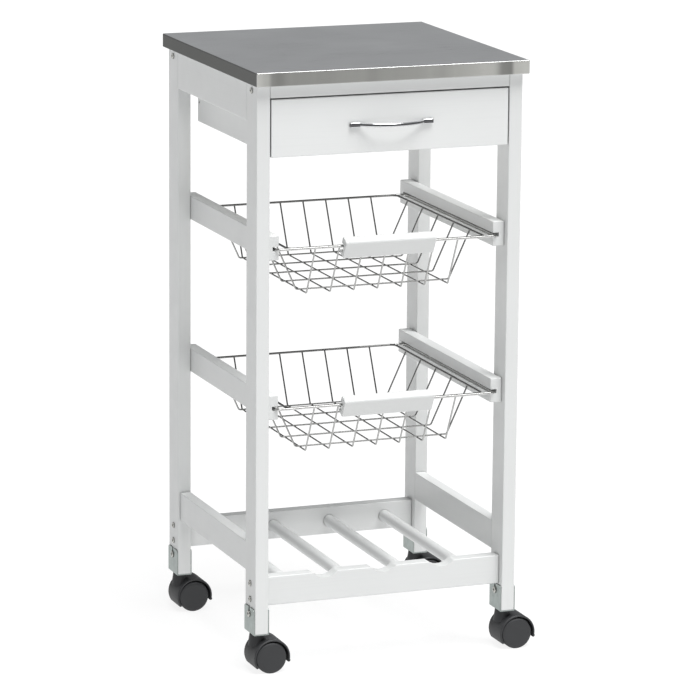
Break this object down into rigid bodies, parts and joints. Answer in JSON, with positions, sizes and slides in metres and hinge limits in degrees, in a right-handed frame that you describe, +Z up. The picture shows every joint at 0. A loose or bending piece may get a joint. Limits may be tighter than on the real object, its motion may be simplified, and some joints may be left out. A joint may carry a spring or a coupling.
{
  "type": "rolling utility cart",
  "caption": "White wooden kitchen trolley with a steel top, a drawer, two sliding wire baskets, a bottle rack and four twin-wheel casters.",
  "frame": {"origin": "on the floor under the middle of the object's bounding box", "axes": "+X to the right seen from the drawer's front, +Y to the back, +Z up"},
  "size_m": [0.3955, 0.379, 0.783],
  "materials": {
    "stainless": "brushed stainless sheet",
    "fibreboard": "raw fibreboard",
    "hardboard": "white-faced hardboard",
    "white_paint": "satin white paint on wood",
    "chrome": "polished",
    "nickel": "nickel plated",
    "zinc": "dull zinc plate",
    "steel": "plain turned steel",
    "wire": "bright plated wire",
    "black_plastic": "matte black"
  },
  "bodies": {
    "frame": {"basket_rail_lower_left": "white_paint", "basket_rail_lower_right": "white_paint", "basket_rail_upper_left": "white_paint", "basket_rail_upper_right": "white_paint", "bracket_screws": "nickel", "caster_brackets": "zinc", "caster_stems": "steel", "drawer_runner_left": "white_paint", "drawer_runner_right": "white_paint", "frame_bolts": "nickel", "leg_back_left": "white_paint", "leg_back_right": "white_paint", "leg_front_left": "white_paint", "leg_front_right": "white_paint", "lower_side_rail_left": "white_paint", "lower_side_rail_right": "white_paint", "rack_dowels": "white_paint", "rack_rail_back": "white_paint", "rack_rail_front": "white_paint", "top_rail_back": "white_paint", "top_rail_front": "white_paint", "top_side_rail_left": "white_paint", "top_side_rail_right": "white_paint", "worktop_core": "fibreboard", "worktop_steel_cover": "stainless"},
    "basket_lower": {"basket_lower_cross_wires": "wire", "basket_lower_grip": "white_paint", "basket_lower_grip_screws": "nickel", "basket_lower_long_wires": "wire", "basket_lower_rim": "wire", "basket_lower_runner": "wire"},
    "basket_upper": {"basket_upper_cross_wires": "wire", "basket_upper_grip": "white_paint", "basket_upper_grip_screws": "nickel", "basket_upper_long_wires": "wire", "basket_upper_rim": "wire", "basket_upper_runner": "wire"},
    "caster_back_left_fork": {"caster_back_left_axle": "steel", "caster_back_left_hood": "black_plastic"},
    "caster_back_left_wheel_a": {"caster_back_left_wheel_a": "black_plastic"},
    "caster_back_left_wheel_b": {"caster_back_left_wheel_b": "black_plastic"},
    "caster_back_right_fork": {"caster_back_right_axle": "steel", "caster_back_right_hood": "black_plastic"},
    "caster_back_right_wheel_a": {"caster_back_right_wheel_a": "black_plastic"},
    "caster_back_right_wheel_b": {"caster_back_right_wheel_b": "black_plastic"},
    "caster_front_left_fork": {"caster_front_left_axle": "steel", "caster_front_left_hood": "black_plastic"},
    "caster_front_left_wheel_a": {"caster_front_left_wheel_a": "black_plastic"},
    "caster_front_left_wheel_b": {"caster_front_left_wheel_b": "black_plastic"},
    "caster_front_right_fork": {"caster_front_right_axle": "steel", "caster_front_right_hood": "black_plastic"},
    "caster_front_right_wheel_a": {"caster_front_right_wheel_a": "black_plastic"},
    "caster_front_right_wheel_b": {"caster_front_right_wheel_b": "black_plastic"},
    "drawer": {"drawer_back": "white_paint", "drawer_bottom": "hardboard", "drawer_front": "white_paint", "drawer_handle": "chrome", "drawer_screws": "nickel", "drawer_side_left": "white_paint", "drawer_side_right": "white_paint"}
  },
  "joints": [
    {"name": "drawer_slide", "type": "slide", "parent": "frame", "child": "drawer", "axis": [0, -1, 0], "range_m": [0, 0.22]},
    {"name": "basket_upper_slide", "type": "slide", "parent": "frame", "child": "basket_upper", "axis": [0, -1, 0], "range_m": [0, 0.25]},
    {"name": "basket_lower_slide", "type": "slide", "parent": "frame", "child": "basket_lower", "axis": [0, -1, 0], "range_m": [0, 0.25]},
    {"name": "caster_front_left_swivel", "type": "hinge", "parent": "frame", "child": "caster_front_left_fork", "pos_m": [-0.18425, -0.1495, 0.04], "axis": [0, 0, 1], "continuous": true},
    {"name": "caster_front_left_roll_a", "type": "hinge", "parent": "caster_front_left_fork", "child": "caster_front_left_wheel_a", "pos_m": [-0.17125, -0.1495, 0.0205], "axis": [0, 1, 0], "continuous": true},
    {"name": "caster_front_left_roll_b", "type": "hinge", "parent": "caster_front_left_fork", "child": "caster_front_left_wheel_b", "pos_m": [-0.17125, -0.1495, 0.0205], "axis": [0, 1, 0], "continuous": true},
    {"name": "caster_front_right_swivel", "type": "hinge", "parent": "frame", "child": "caster_front_right_fork", "pos_m": [0.15875, -0.1495, 0.04], "axis": [0, 0, 1], "continuous": true},
    {"name": "caster_front_right_roll_a", "type": "hinge", "parent": "caster_front_right_fork", "child": "caster_front_right_wheel_a", "pos_m": [0.17175, -0.1495, 0.0205], "axis": [0, 1, 0], "continuous": true},
    {"name": "caster_front_right_roll_b", "type": "hinge", "parent": "caster_front_right_fork", "child": "caster_front_right_wheel_b", "pos_m": [0.17175, -0.1495, 0.0205], "axis": [0, 1, 0], "continuous": true},
    {"name": "caster_back_left_swivel", "type": "hinge", "parent": "frame", "child": "caster_back_left_fork", "pos_m": [-0.18425, 0.1585, 0.04], "axis": [0, 0, 1], "continuous": true},
    {"name": "caster_back_left_roll_a", "type": "hinge", "parent": "caster_back_left_fork", "child": "caster_back_left_wheel_a", "pos_m": [-0.17125, 0.1585, 0.0205], "axis": [0, 1, 0], "continuous": true},
    {"name": "caster_back_left_roll_b", "type": "hinge", "parent": "caster_back_left_fork", "child": "caster_back_left_wheel_b", "pos_m": [-0.17125, 0.1585, 0.0205], "axis": [0, 1, 0], "continuous": true},
    {"name": "caster_back_right_swivel", "type": "hinge", "parent": "frame", "child": "caster_back_right_fork", "pos_m": [0.15875, 0.1585, 0.04], "axis": [0, 0, 1], "continuous": true},
    {"name": "caster_back_right_roll_a", "type": "hinge", "parent": "caster_back_right_fork", "child": "caster_back_right_wheel_a", "pos_m": [0.17175, 0.1585, 0.0205], "axis": [0, 1, 0], "continuous": true},
    {"name": "caster_back_right_roll_b", "type": "hinge", "parent": "caster_back_right_fork", "child": "caster_back_right_wheel_b", "pos_m": [0.17175, 0.1585, 0.0205], "axis": [0, 1, 0], "continuous": true}
  ]
}
